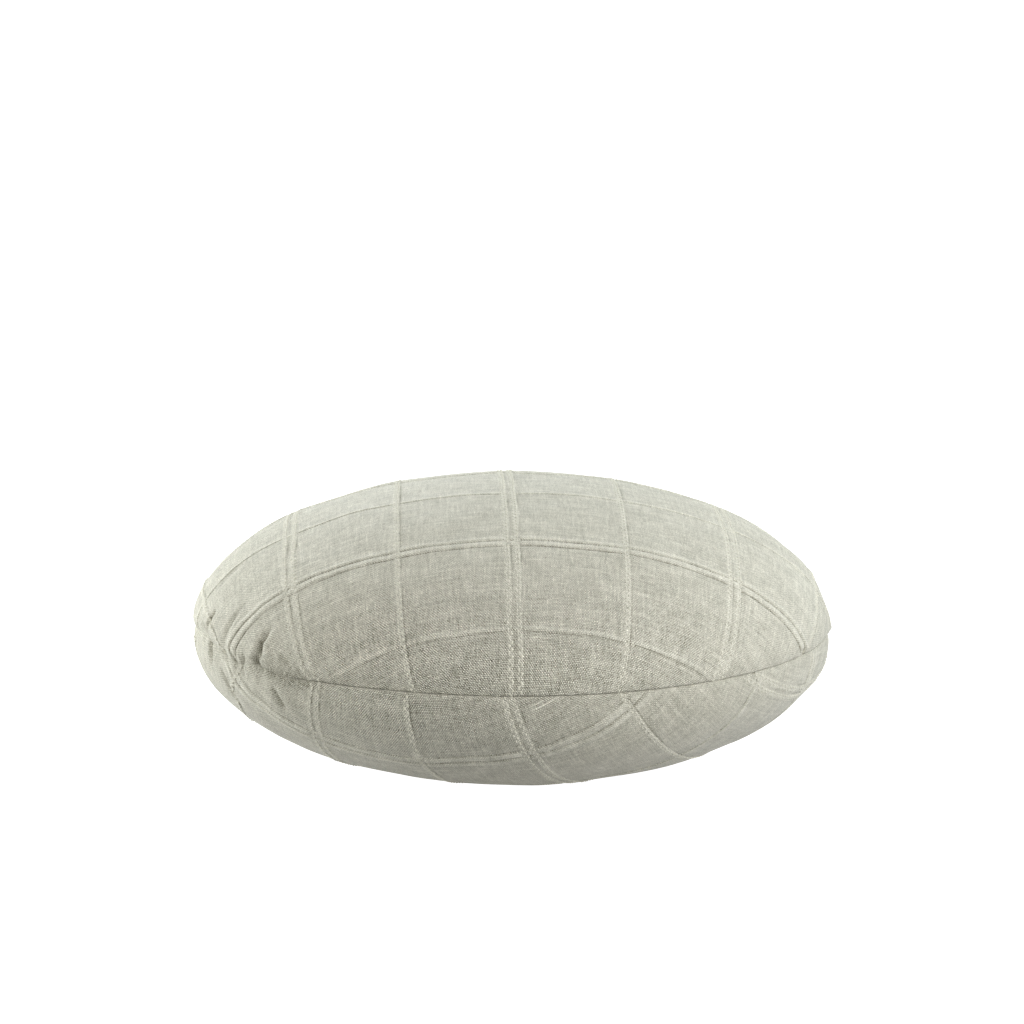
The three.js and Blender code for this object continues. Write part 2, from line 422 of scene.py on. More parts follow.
def fill_lift(panel, x, y):
    """Slow unevenness of the filling under the cloth."""
    rng = np.random.default_rng(panel["seed"])
    lift = np.zeros_like(x)
    for size, shortest, longest in fill_waves:
        for _ in range(waves_each):
            way = rng.uniform(0, 2 * math.pi)
            wave = rng.uniform(shortest, longest)
            phase = rng.uniform(0, 2 * math.pi)
            along = x * math.cos(way) + y * math.sin(way)
            lift += size * np.sin(along * 2 * math.pi / wave + phase)
    return lift


def gather_lift(panel, turn, up):
    """The small gathers that a curved seam has all the way round, larger on the left."""
    ripple = np.zeros_like(turn)
    rng = np.random.default_rng(gather_seed + panel["seed"])
    for count in gather_counts:
        phase = rng.uniform(0, 2 * math.pi)
        ripple += np.sin(count * turn + phase)
    size = gather_size * np.exp(-up / gather_reach) + pushes_at(turn, up, left_gathers)
    return ripple * size


def turn_from_left(angle):
    """An angle as the turn round the pillow: 0 at its left end and a quarter turn in front."""
    return np.mod(angle - math.pi / 2, 2 * math.pi) - math.pi / 2


def turn_and_up(panel, places, rim):
    """The turn round the pillow from its left end and the way up from the seam, for flat places."""
    up = np.maximum(rim - np.hypot(places[:, 0], places[:, 1]), 0)
    angle = np.arctan2(places[:, 1], places[:, 0]) + panel["check_turn"]
    slide = pushes_at(turn_from_left(angle), up, panel["slides"])
    return turn_from_left(angle + slide / seam_radius), up


def surface_lift(panel, x, y, turn, up, radius):
    """How far the filled cloth stands off its smooth crown: creases, gathers, hollows and the seam."""
    lift = crease_shape(panel, turn, up, radius)[0] + gather_lift(panel, turn, up)
    lift = lift + hollow_lift(panel, turn, up) + fill_lift(panel, x, y) * ease(up / fill_fade)
    roll = panel["roll_size"] * bell(up, 0, panel["roll_reach"])
    return lift - (roll + pushes_at(turn, up, panel["draws"]))


def lay_on_crown(panel, profile, places, lift):
    """Takes flat cloth places to the filled pillow, in millimetres, with their outward directions."""
    x, y = places[:, 0], places[:, 1]
    length = np.hypot(x, y)
    turn, up = turn_and_up(panel, places, profile["length"][-1])
    angle = turn + math.pi
    r, z, out_r, out_z = [
        np.interp(length, profile["length"], profile[key]) for key in ("r", "z", "out_r", "out_z")
    ]
    raised = surface_lift(panel, x, y, turn, up, r) + lift
    if panel["way"] < 0:
        raised = raised * ease((r - rest_radius) / rest_blend)
    r = r + out_r * raised + pushes_at(turn, up, panel["ears"])
    z = panel["way"] * (z + out_z * raised) + pushes_at(turn, up, panel["rises"])
    if panel["way"] < 0:
        z = z - seam_gap
    out = np.stack([out_r * np.cos(angle), out_r * np.sin(angle), panel["way"] * out_z], 1)
    points = np.stack([r * np.cos(angle), r * np.sin(angle), z + seam_height / mm], 1)
    points[:, 2] = np.maximum(points[:, 2], 0)
    return points, out


# How tucks and cord beds are formed. Unevenness along them is a sum of waves, each a size, a length
# divided by 2 pi, and how much the thread's own place shifts it. A cord takes away some of the height,
# paleness and painted shade of the tucks that it crosses, and lies in a bed with a groove on one side.
# The dark of the nips, grooves and creases is painted shade where shadow falls, and the pale of the
# tuck ridges is partly their own lighter cloth and partly a painted highlight where they catch light.
tuck_sway = ((0.18, 5.3, 1), (0.15, 2.9, 2))
tuck_firmness = 0.8
tuck_waves = ((0.2, 19, 1), (0.18, 6.1, 3))
ridge_offset = 0.1
ridge_flatness = 6
nip_width = 0.38
far_nip = 0.15
nip_blend = 110
nip_span = (-90, 40)
cord_over = 2.3
cord_flatness = 6
taken_height = 0.85
taken_pale_and_highlight = 0.6
taken_painted_shade = 0.9
bed_half = 2.0
bed_flatness = 4
bed_lift = 0.15
bed_paleness = 0.9
groove_offset = 2.4
groove_width = 0.34
groove_depth = 0.22
groove_painted_shade = 0.7
groove_firmness = 0.35
groove_waves = ((0.5, 13, 1), (0.4, 5.7, 2))
alone_firmness = 0.8
most_firmness = 1.4
rim_fade = 5
crease_painted_shade = 1.3


def uneven(along, place, waves):
    """Smooth unevenness along a thread at a place."""
    return sum(size * np.sin(along / length + shift * place) for size, length, shift in waves)


def tuck_shape(panel, x, y, rim, nips):
    """What the crosswise tucks add: height, pale ridges, partly a painted highlight, and nips darkened
    with painted shade. Cords press them down.
    """
    lift = np.zeros_like(x)
    pale = np.zeros_like(x)
    dark = np.zeros_like(x)
    for centre, kind in tucks_of(panel, rim):
        strength = nips * (far_nip + (1 - far_nip) * ease(-centre / nip_blend))
        firm = tuck_firmness + uneven(x, centre, tuck_waves)
        t = y - centre - uneven(x, centre, tuck_sway)
        ridge = bell(t, ridge_offset, kind["half"], ridge_flatness)
        nip = bell(t, -kind["half"] - nip_offset, nip_width) * firm * strength
        lift += kind["ridge"] * ridge - kind["nip"] * nip
        pale = np.maximum(pale, ridge)
        dark = np.maximum(dark, nip * kind["nip"] / deepest_nip)
    over = np.zeros_like(x)
    for centre, _ in cords_of(panel, rim):
        over = np.maximum(over, bell(x, centre, cord_over, cord_flatness))
    lift = lift * (1 - taken_height * over)
    pale = pale * (1 - taken_pale_and_highlight * over)
    return lift, pale, dark * (1 - taken_painted_shade * over)


def bed_shape(panel, x, y, rim, nips):
    """What lengthwise cords' beds add: height, pale beds and painted shade in grooves beside them."""
    lift = np.zeros_like(x)
    pale = np.zeros_like(x)
    dark = np.zeros_like(x)
    for centre, is_alone in cords_of(panel, rim):
        bed = bell(x, centre, bed_half, bed_flatness)
        firm = groove_firmness + uneven(y, centre, groove_waves)
        firm = np.clip(firm + (alone_firmness if is_alone else 0), 0, most_firmness)
        groove = bell(x - centre, groove_offset, groove_width) * firm
        lift += bed_lift * bed - groove_depth * groove
        pale = np.maximum(pale, bed_paleness * bed)
        dark = np.maximum(dark, groove_painted_shade * groove * nips)
    return lift, pale, dark


def rib_shape(panel, places, rim):
    """The height that tucks and cord beds add to the cloth, how pale they make it, partly with a
    painted highlight, and the painted shade in nips, grooves, creases and one place on the left.
    """
    x, y = places[:, 0], places[:, 1]
    nips = np.interp(x, nip_span, panel["nips"])
    lift, pale, dark = tuck_shape(panel, x, y, rim, nips)
    bed, pale_bed, groove_shade = bed_shape(panel, x, y, rim, nips)
    turn, up = turn_and_up(panel, places, rim)
    fade = ease(up / rim_fade)
    pale = np.maximum(pale, pale_bed) * fade
    dark = np.maximum(dark, groove_shade) * fade
    # Painted shade deep in the creases, and a painted shadow on the left.
    creased = crease_painted_shade * crease_shape(panel, turn, up, seam_radius - radius_fall * up)[1]
    dark = np.maximum(dark, np.maximum(creased, pushes_at(turn, up, left_shadow)))
    return (lift + bed) * fade, pale, dark


# How open the weave is pulled: one value within outside_width of the seam, another in the middle, and
# less from right_start on round, in radians from the left end. The threads lean one way on the left
# and the other way on the right, and change over at lean_middle.
outside_width = 90
inside_blend = 70
right_start = 1.9
right_blend = 0.5
right_less = 0.18
most_lean = 0.6
lean_middle = 35
lean_blend = 30


def weave_pull(panel, places, rim):
    """How open the weave is pulled and how far askew: most by the front of the seam."""
    turn, up = turn_and_up(panel, places, rim)
    inside = panel["openness_inside"]
    outside = panel["openness_outside"]
    openness = inside + (outside - inside) * (1 - ease((up - outside_width) / inside_blend))
    openness = openness + pushes_at(turn, up, panel["pulls"])
    lean = most_lean * np.tanh((places[:, 0] - lean_middle) / lean_blend)
    return openness * (1 - right_less * ease((turn - right_start) / right_blend)), lean


# The shades kept at the cover's points, and whether each goes on into the turned-in edge.
# Dark is painted shade; pale is partly a painted highlight on the tuck ridges.
shade_names = ("pale", "dark", "openness", "lean")
shade_goes_in = (0, 0, 1, 1)


def turned_edge(panel, mesh, around, rim):
    """Adds the edge that is turned in at the seam to a panel's mesh, ring by ring."""
    edge = mesh["points"][around]
    ring = around
    for inward, towards in turned_rings:
        shrink = 1 - inward / np.hypot(edge[:, 0], edge[:, 1])
        height = edge[:, 2] - panel["way"] * towards
        turned = np.stack([edge[:, 0] * shrink, edge[:, 1] * shrink, height], 1)
        inner = np.arange(len(around)) + len(mesh["points"])
        mesh["points"] = np.concatenate([mesh["points"], turned])
        mesh["places"] = np.concatenate([mesh["places"], mesh["places"][around] * (1 + inward / rim)])
        mesh["shades"] = np.concatenate([mesh["shades"], mesh["shades"][around] * shade_goes_in])
        for a, b, c, d in zip(ring, np.roll(ring, -1), np.roll(inner, -1), inner):
            face = (a, d, c, b) if panel["way"] > 0 else (a, b, c, d)
            mesh["faces"].append(tuple(int(n) for n in face))
        ring = inner
    return ring


def panel_mesh(panel):
    """One panel: its points on the pillow, faces, flat places, shades and turned-in edge."""
    profile = profile_of(panel)
    rim = profile["length"][-1]
    beds = [centre + t for centre, _ in cords_of(panel, rim) for t in bed_lines]
    tucks = [at for centre, kind in tucks_of(panel, rim) for at in tuck_rows(centre, kind)]
    columns = grid_lines(beds, rim, panel["creased_columns"])
    rows = grid_lines(tucks, rim, panel["creased_rows"])
    places, faces, rim_points = cut_round(columns, rows, rim)
    if panel["way"] < 0:
        faces = [face[::-1] for face in faces]
    lift, pale, dark = rib_shape(panel, places, rim)
    points, _ = lay_on_crown(panel, profile, places, lift)
    points[:, 2] = np.maximum(points[:, 2], pressed_flat)
    shades = np.stack([pale, dark, *weave_pull(panel, places, rim)], 1)
    mesh = {"points": points, "faces": faces, "places": places, "shades": shades}
    angles = np.arctan2(places[rim_points, 1], places[rim_points, 0])
    mesh["edge"] = turned_edge(panel, mesh, rim_points[np.argsort(angles)], rim)
    return mesh


def edge_round(mesh, start):
    """The numbers and the angles of the points on a panel's turned-in edge, in order round it."""
    edge = mesh["edge"]
    angles = np.arctan2(mesh["points"][edge, 1], mesh["points"][edge, 0])
    order = np.argsort(angles)
    return edge[order] + start, angles[order]


def close_seam(above, below, below_start):
    """The faces between the two turned-in edges, deep in the seam."""
    outer, outer_angles = edge_round(above, 0)
    inner, inner_angles = edge_round(below, below_start)
    outer = np.append(outer, outer[0])
    inner = np.append(inner, inner[0])
    outer_angles = np.append(outer_angles, outer_angles[0] + 2 * math.pi)
    inner_angles = np.append(inner_angles, inner_angles[0] + 2 * math.pi)
    faces = []
    i = 0
    j = 0
    while i < len(outer) - 1 or j < len(inner) - 1:
        outer_left = i < len(outer) - 1
        inner_left = j < len(inner) - 1
        if not inner_left or (outer_left and outer_angles[i + 1] <= inner_angles[j + 1]):
            faces.append((int(outer[i]), int(inner[j]), int(outer[i + 1])))
            i += 1
        else:
            faces.append((int(outer[i]), int(inner[j]), int(inner[j + 1])))
            j += 1
    return faces


def new_piece(name, points, faces, unit=mm):
    """A smooth mesh object from points in a unit, millimetres if not said otherwise."""
    mesh = bpy.data.meshes.new(name)
    mesh.from_pydata((np.asarray(points) * unit).tolist(), [], faces)
    mesh.polygons.foreach_set("use_smooth", [True] * len(mesh.polygons))
    mesh.update()
    piece = bpy.data.objects.new(name, mesh)
    bpy.context.scene.collection.objects.link(piece)
    return piece


def keep_shade(piece, name, values):
    """Keeps a value at each point of a piece, for its material."""
    layer = piece.data.attributes.new(name, "FLOAT", "POINT")
    layer.data.foreach_set("value", values)


above_mesh = panel_mesh(above_panel)
below_mesh = panel_mesh(below_panel)
below_start = len(above_mesh["points"])
cover_points = np.concatenate([above_mesh["points"], below_mesh["points"]])
cover_faces = above_mesh["faces"] + [tuple(n + below_start for n in f) for f in below_mesh["faces"]]
cover_faces += close_seam(above_mesh, below_mesh, below_start)
cover = new_piece("cushion_cover", cover_points, cover_faces)

# Both cloth maps: one in millimetres on the flat cloth for the weave, with the lower panel's cloth
# moved clear of the upper's, and one packed for baking, with a round for each panel.
weave_shift = 1000.0
bake_scale = 0.24 / 245.0
bake_middle_above = 0.255
bake_middle_below = 0.745
cloth_places = np.concatenate([above_mesh["places"], below_mesh["places"]])
is_below = (np.arange(len(cover_points)) >= below_start)[:, None]
bake_places = cloth_places * bake_scale + np.where(is_below, bake_middle_below, bake_middle_above)
weave_places = cloth_places + np.where(is_below, weave_shift, 0.0)
loop_vertices = np.empty(len(cover.data.loops), int)
cover.data.loops.foreach_get("vertex_index", loop_vertices)
for map_name, map_places in (("OFBake", bake_places), ("cloth", weave_places)):
    cloth_map = cover.data.uv_layers.new(name=map_name)
    cloth_map.data.foreach_set("uv", map_places[loop_vertices].ravel())
cover_shades = np.concatenate([above_mesh["shades"], below_mesh["shades"]])
for shade_name, shade in zip(shade_names, cover_shades.T):
    keep_shade(cover, shade_name, shade)


def add_node(tree, kind, inputs=None, **settings):
    """A shader node with its settings and input values or links."""
    node = tree.nodes.new(kind)
    for key, value in settings.items():
        setattr(node, key, value)
    for key, value in (inputs or {}).items():
        if isinstance(value, bpy.types.NodeSocket):
            tree.links.new(value, node.inputs[key])
        else:
            node.inputs[key].default_value = value
    return node


def maths(tree, operation, a, b=0.0, c=0.0):
    """The output of a math node."""
    node = add_node(tree, "ShaderNodeMath", {0: a, 1: b, 2: c}, operation=operation)
    return node.outputs[0]


def shade_at(tree, name):
    """A value kept at the piece's points."""
    return add_node(tree, "ShaderNodeAttribute", attribute_name=name).outputs["Fac"]


def mixed(tree, share, first, second):
    """A colour between two."""
    inputs = {0: share, 6: first, 7: second}
    return add_node(tree, "ShaderNodeMix", inputs, data_type="RGBA").outputs[2]


def scaled(tree, vector, scale):
    """A colour or a vector times a number."""
    inputs = {0: vector, "Scale": scale}
    return add_node(tree, "ShaderNodeVectorMath", inputs, operation="SCALE").outputs[0]


def new_group(name, inputs, outputs):
    """A shader node group with the flat cloth's place and numbers going in, and numbers coming out."""
    group = bpy.data.node_groups.new(name, "ShaderNodeTree")
    face = group.interface
    face.new_socket(name="Cloth", in_out="INPUT", socket_type="NodeSocketVector")
    for key, value in inputs:
        face.new_socket(name=key, in_out="INPUT", socket_type="NodeSocketFloat").default_value = value
    for key in outputs:
        face.new_socket(name=key, in_out="OUTPUT", socket_type="NodeSocketFloat")
    enter = group.nodes.new("NodeGroupInput").outputs
    leave = group.nodes.new("NodeGroupOutput")
    return group, enter, leave


# The weave's own proportions. Threads wander by some of their pitch, and where a crossing is firm the
# thread on top shows more. Slubs are pale thick places, where a stretched noise is at its highest.
# Each noise has its scale across and along the cloth, for each millimetre, and its detail.
weave_inputs = (
    ("Warp Pitch", 0.8),
    ("Weft Pitch", 1.0),
    ("Thread Contrast", 1.0),
    ("Lean", 0.0),
    ("Slub", 1.0),
    ("Fleck", 0.3),
)
weave_noises = {
    "warp wander": (0.22, 0.05, 1.0),
    "weft wander": (0.05, 0.22, 1.0),
    "firmness": (0.16, 0.16, 2.0),
    "grain": (1.0, 1.0, 0.0),
    "warp streaks": (0.5, 0.035, 2.0),
    "weft streaks": (0.035, 0.5, 2.0),
    "warp slubs": (0.55, 0.04, 0.0),
    "weft slubs": (0.035, 0.6, 0.0),
    "flecks": (2.2, 2.2, 0.0),
    "mottling": (0.07, 0.09, 3.0),
    "speckle": (0.5, 0.5, 1.0),
}
thread_wander = 1.1
thread_height = 0.5
mean_relief = 0.585
crossing_contrast = 0.36
firm_gain = 2.4
firm_start = -0.35
firm_grain = 4.0
thread_change = 5.0
lane_step = 7.31
slub_from = 0.68
slub_full = 0.76
slub_paleness = 0.09
uneven_gain = 0.2
uneven_start = 0.76


def linen_weave_group():
    """Plain linen weave on the flat cloth: thread shade, relief and soft mottling."""
    outputs = ("Shade", "Height", "Mottle", "Speckle")
    group, enter, leave = new_group("linen_weave", weave_inputs, outputs)

    def noise_at(vector, detail):
        """Flat noise at a vector."""
        inputs = {"Vector": vector, "Scale": 1.0, "Detail": detail}
        return add_node(group, "ShaderNodeTexNoise", inputs, noise_dimensions="2D").outputs[0]

    def cloth_noise(name):
        """One of the weave's noises on the flat cloth."""
        scale_x, scale_y, detail = weave_noises[name]
        inputs = {0: enter["Cloth"], 1: (scale_x, scale_y, 0)}
        stretched = add_node(group, "ShaderNodeVectorMath", inputs, operation="MULTIPLY")
        return noise_at(stretched.outputs[0], detail)

    def thread_noise(across, along):
        """Unevenness along each thread, different from one thread to the next."""
        lane = maths(group, "MULTIPLY", maths(group, "FLOOR", across), lane_step)
        inputs = {0: lane, 1: maths(group, "DIVIDE", along, thread_change)}
        return noise_at(add_node(group, "ShaderNodeCombineXYZ", inputs).outputs[0], 1.0)

    def centred(value, strength):
        """A noise made to vary round zero."""
        return maths(group, "MULTIPLY", maths(group, "SUBTRACT", value, 0.5), strength)

    def thick_places(name):
        """The slubs of the threads that run one way."""
        inputs = {0: cloth_noise(name), 1: slub_from, 2: slub_full, 3: 0.0, 4: slub_paleness}
        return add_node(group, "ShaderNodeMapRange", inputs).outputs[0]

    split = add_node(group, "ShaderNodeSeparateXYZ", {0: enter["Cloth"]})
    wander_x = maths(group, "MULTIPLY", cloth_noise("warp wander"), thread_wander)
    wander_y = maths(group, "MULTIPLY", cloth_noise("weft wander"), thread_wander)
    across = maths(group, "DIVIDE", split.outputs["X"], enter["Warp Pitch"])
    along = maths(group, "DIVIDE", split.outputs["Y"], enter["Weft Pitch"])
    across = maths(group, "ADD", across, wander_x)
    along = maths(group, "ADD", along, wander_y)
    u = maths(group, "MULTIPLY", across, math.pi)
    v = maths(group, "MULTIPLY", along, math.pi)
    sin_u = maths(group, "SINE", u)
    sin_v = maths(group, "SINE", v)
    crossing = maths(group, "MULTIPLY", sin_u, sin_v)
    warp = maths(group, "ADD", maths(group, "ABSOLUTE", sin_u), crossing)
    weft = maths(group, "SUBTRACT", maths(group, "ABSOLUTE", sin_v), crossing)
    relief = maths(group, "MULTIPLY", maths(group, "MAXIMUM", warp, weft), thread_height)
    height = maths(group, "MULTIPLY_ADD", crossing, thread_height, relief)
    firmness = maths(group, "MULTIPLY_ADD", cloth_noise("firmness"), firm_gain, firm_start)
    firmness = maths(group, "ADD", firmness, centred(cloth_noise("grain"), firm_grain))
    askew = maths(group, "MULTIPLY", maths(group, "COSINE", u), maths(group, "COSINE", v))
    leaned = maths(group, "MULTIPLY_ADD", askew, enter["Lean"], crossing)
    over_under = maths(group, "MULTIPLY", leaned, firmness)
    low_places = maths(group, "SUBTRACT", relief, mean_relief)
    gaps = maths(group, "MULTIPLY_ADD", over_under, crossing_contrast, low_places)
    gaps = maths(group, "MULTIPLY", gaps, enter["Thread Contrast"])
    warp_shade = centred(thread_noise(across, along), 1.0)
    weft_shade = centred(thread_noise(along, across), 1.0)
    streaks = maths(group, "ADD", cloth_noise("warp streaks"), cloth_noise("weft streaks"))
    threads = maths(group, "ADD", maths(group, "ADD", warp_shade, weft_shade), streaks)
    threads = maths(group, "MULTIPLY", maths(group, "SUBTRACT", threads, 1.0), enter["Slub"])
    slubs = maths(group, "ADD", thick_places("warp slubs"), thick_places("weft slubs"))
    flecks = maths(group, "MULTIPLY", centred(cloth_noise("flecks"), 1.0), enter["Fleck"])
    amount = maths(group, "MULTIPLY_ADD", enter["Thread Contrast"], uneven_gain, uneven_start)
    unevenness = maths(group, "MULTIPLY", maths(group, "ADD", threads, flecks), amount)
    shade = maths(group, "ADD", maths(group, "ADD", gaps, unevenness), maths(group, "ADD", slubs, 1.0))
    results = (shade, height, cloth_noise("mottling"), cloth_noise("speckle"))
    for key, value in zip(outputs, results):
        group.links.new(value, leave.inputs[key])
    return group


def slub_thread_group():
    """One thick place in a crosswise thread: a thin streak on the flat cloth that fades at its ends."""
    inputs = (("Middle", 0.0), ("Row", 0.0), ("Half Length", 10.0), ("Half Width", 0.62))
    group, enter, leave = new_group("slub_thread", inputs, ("Mask",))
    split = add_node(group, "ShaderNodeSeparateXYZ", {0: enter["Cloth"]})

    def near(axis, middle, half):
        """1 at the middle, falling to 0 at half the size away."""
        away = maths(group, "SUBTRACT", split.outputs[axis], enter[middle])
        away = maths(group, "DIVIDE", away, enter[half])
        left = maths(group, "SUBTRACT", 1.0, maths(group, "MULTIPLY", away, away))
        return maths(group, "MAXIMUM", left, 0.0)

    mask = maths(group, "MULTIPLY", near("X", "Middle", "Half Length"), near("Y", "Row", "Half Width"))
    group.links.new(mask, leave.inputs["Mask"])
    return group


linen_weave = linen_weave_group()
slub_thread = slub_thread_group()
warm_colour = (0.549, 0.533, 0.439, 1)
cool_colour = (0.543, 0.537, 0.445, 1)
thread_tint = (0.550, 0.545, 0.490)
# How much lighter pale places are, partly as painted highlight, and how dark the painted shade is.
rib_pale_and_highlight = 0.18
painted_shade_strength = -0.35
bead_gain = 2.4
bead_start = -0.3
mottle_gain = 0.30
mottle_start = -0.15
thread_bump = 0.0003

# The thick places that stand out in front: middle, row and half length in millimetres of flat
# cloth, the lower panel's with weave_shift added, and how much lighter the thread is there.
front_slubs = (
    (1092.5, 787.0, 14.5, 0.65),
    (1088.0, 784.4, 6.5, 0.40),
    (9.5, -200.7, 11.0, 0.45),
)


def finish_threads(tree, colour, height, bump_strength, roughness):
    """Matt fibre with a faint sheen, in a colour and with a relief."""
    shader = tree.nodes["Principled BSDF"]
    bump = add_node(tree, "ShaderNodeBump", {"Height": height})
    bump.inputs["Strength"].default_value = bump_strength
    bump.inputs["Distance"].default_value = thread_bump
    tree.links.new(colour, shader.inputs["Base Color"])
    tree.links.new(bump.outputs[0], shader.inputs["Normal"])
    shader.inputs["Roughness"].default_value = roughness
    shader.inputs["Specular IOR Level"].default_value = 0.12
    shader.inputs["Sheen Weight"].default_value = 0.28
    shader.inputs["Sheen Roughness"].default_value = 0.45


def cloth_material():
    """The linen-look cloth: matt threads with dark gaps, lighter on the raised tucks, partly with a
    painted highlight, and with painted shade in nips, grooves and creases.
    """
    material = bpy.data.materials.new("window_check_linen")
    material.use_nodes = True
    tree = material.node_tree
    cloth = add_node(tree, "ShaderNodeUVMap", uv_map="cloth").outputs[0]
    weave_values = {
        "Cloth": cloth,
        "Warp Pitch": 0.79,
        "Weft Pitch": 1.02,
        "Thread Contrast": shade_at(tree, "openness"),
        "Lean": shade_at(tree, "lean"),
        "Slub": 0.38,
        "Fleck": 1.2,
    }
    weave = add_node(tree, "ShaderNodeGroup", weave_values, node_tree=linen_weave).outputs
    strength = maths(tree, "MULTIPLY_ADD", shade_at(tree, "pale"), rib_pale_and_highlight, weave["Shade"])
    for middle, row, half_length, gain in front_slubs:
        slub_values = {"Cloth": cloth, "Middle": middle, "Row": row, "Half Length": half_length}
        slub = add_node(tree, "ShaderNodeGroup", slub_values, node_tree=slub_thread)
        strength = maths(tree, "MULTIPLY_ADD", slub.outputs["Mask"], gain, strength)
    # The painted shade, made uneven with the speckle.
    beads = maths(tree, "MULTIPLY_ADD", weave["Speckle"], bead_gain, bead_start)
    painted_shade_beaded = maths(tree, "MULTIPLY", shade_at(tree, "dark"), beads)
    strength = maths(tree, "MULTIPLY_ADD", painted_shade_beaded, painted_shade_strength, strength)
    mottling = maths(tree, "MULTIPLY_ADD", weave["Mottle"], mottle_gain, mottle_start)
    change = maths(tree, "SUBTRACT", maths(tree, "ADD", strength, mottling), 1.0)
    tone = mixed(tree, weave["Mottle"], cool_colour, warm_colour)
    both = {0: scaled(tree, thread_tint, change), 1: tone}
    colour = add_node(tree, "ShaderNodeVectorMath", both, operation="ADD").outputs[0]
    finish_threads(tree, colour, weave["Height"], bump_strength=0.6, roughness=0.92)
    return material


cover.data.materials.append(cloth_material())
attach(cover, "root")
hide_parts("cushion")


# The lengthwise cords. Thick soft yarns laid in with the warp, held down by the weft so that they
# swing from side to side and show as a flat chain of pale dots, alternately one and two side by side.
yarn_half_width = 0.56
yarn_half_height = 0.36
yarn_past_rim = 0.6
yarn_swing = 1.0
yarn_low = -0.52
yarn_high = 0.12
yarn_tilt = 0.12
yarn_sharpness = 1.4
swing_pitch = 4.8
steps_a_swing = 12
yarn_sides = 6
yarn_seeds = 100

# How unevenly a yarn swings, swells, lies and stands: size, and shortest and longest wave.
uneven_swing = (0.35, 25, 70)
uneven_swell = (0.07, 7, 22)
uneven_place = (0.12, 30, 90)
uneven_height = (0.03, 8, 30)
waves_a_yarn = 4


def uneven_run(rng, along, size, shortest, longest):
    """A smooth uneven run along a yarn, with the next waves from its random numbers."""
    waves = [
        np.sin(along * 2 * math.pi / rng.uniform(shortest, longest) + rng.uniform(0, 6))
        for _ in range(waves_a_yarn)
    ]
    return size * sum(waves)


def tube(centre, out, swell):
    """The points and faces of a closed yarn along a line of places, flat side outward."""
    way = np.gradient(centre, axis=0)
    way /= np.linalg.norm(way, axis=1)[:, None]
    side = np.cross(way, out)
    side /= np.linalg.norm(side, axis=1)[:, None]
    top = np.cross(side, way)
    count = len(centre)
    points = []
    faces = []
    for k in range(yarn_sides):
        around = 2 * math.pi * k / yarn_sides
        wide = yarn_half_width * math.cos(around) * swell
        high = yarn_half_height * math.sin(around) * swell
        points.append(centre + side * wide[:, None] + top * high[:, None])
        here = k * count
        there = ((k + 1) % yarn_sides) * count
        faces += [(here + i, here + i + 1, there + i + 1, there + i) for i in range(count - 1)]
    faces.append(tuple(k * count for k in range(yarn_sides)))
    faces.append(tuple((yarn_sides - 1 - k) * count + count - 1 for k in range(yarn_sides)))
    return np.concatenate(points), faces


def cord_yarn(panel, profile, place, seed):
    """The swinging yarn of one cord, as points, faces and how open the weave is at each point."""
    rim = profile["length"][-1]
    reach = math.sqrt(rim * rim - place * place) + yarn_past_rim
    count = int(2 * reach / swing_pitch * steps_a_swing)
    along = np.linspace(-reach, reach, count)
    rng = np.random.default_rng(seed)
    phase = along * 2 * math.pi / swing_pitch + rng.uniform(0, 6)
    swing = np.sin(phase + uneven_run(rng, along, *uneven_swing))
    swell = 1 + uneven_run(rng, along, *uneven_swell)
    across = place + uneven_run(rng, along, *uneven_place) + yarn_swing * swing * swell
    height = yarn_low + (yarn_high - yarn_low) * np.abs(swing) ** yarn_sharpness + yarn_tilt * swing
    height = height + uneven_run(rng, along, *uneven_height)
    places = np.stack([across, along], 1)
    lift, _, _ = rib_shape(panel, places, rim)
    middle, out = lay_on_crown(panel, profile, places, lift)
    points, faces = tube(middle + out * height[:, None], out, swell)
    openness, _ = weave_pull(panel, places, rim)
    return points, faces, np.tile(openness, yarn_sides)


def cords_piece(name, panel):
    """All lengthwise cords of one panel, joined."""
    profile = profile_of(panel)
    points = []
    faces = []
    shades = []
    total = 0
    for number, (place, _) in enumerate(cords_of(panel, profile["length"][-1])):
        seed = panel["seed"] * yarn_seeds + number
        cord_points, cord_faces, shade = cord_yarn(panel, profile, place, seed)
        faces += [tuple(n + total for n in face) for face in cord_faces]
        points.append(cord_points)
        shades.append(shade)
        total += len(cord_points)
    points = np.concatenate(points)
    points[:, 2] = np.maximum(points[:, 2], 0)
    piece = new_piece(name, points, faces)
    keep_shade(piece, "openness", np.concatenate(shades))
    return piece


# The yarn's colours between its fibres and on them, the fibres' size for each metre, and how much
# lighter the yarn is than its colours where the weave is closed, and how much painted highlight makes
# it lighter still as the weave opens, most by the front of the seam.
between_fibres = (0.49, 0.480, 0.396, 1)
on_fibres = (0.69, 0.678, 0.572, 1)
fibre_scale = 900.0
fibre_detail = 3.0
yarn_paleness = 1.05
yarn_open_highlight = 0.20


def cord_material():
    """The soft twisted yarn, a shade lighter than the cloth, and a painted highlight as the weave
    opens.
    """
    material = bpy.data.materials.new("cord_yarn")
    material.use_nodes = True
    tree = material.node_tree
    place = add_node(tree, "ShaderNodeTexCoord").outputs["Object"]
    noise_values = {"Vector": place, "Scale": fibre_scale, "Detail": fibre_detail}
    fibre = add_node(tree, "ShaderNodeTexNoise", noise_values).outputs[0]
    tone = mixed(tree, fibre, between_fibres, on_fibres)
    openness = shade_at(tree, "openness")
    strength = maths(tree, "MULTIPLY_ADD", openness, yarn_open_highlight, yarn_paleness)
    finish_threads(tree, scaled(tree, tone, strength), fibre, bump_strength=0.5, roughness=0.9)
    return material


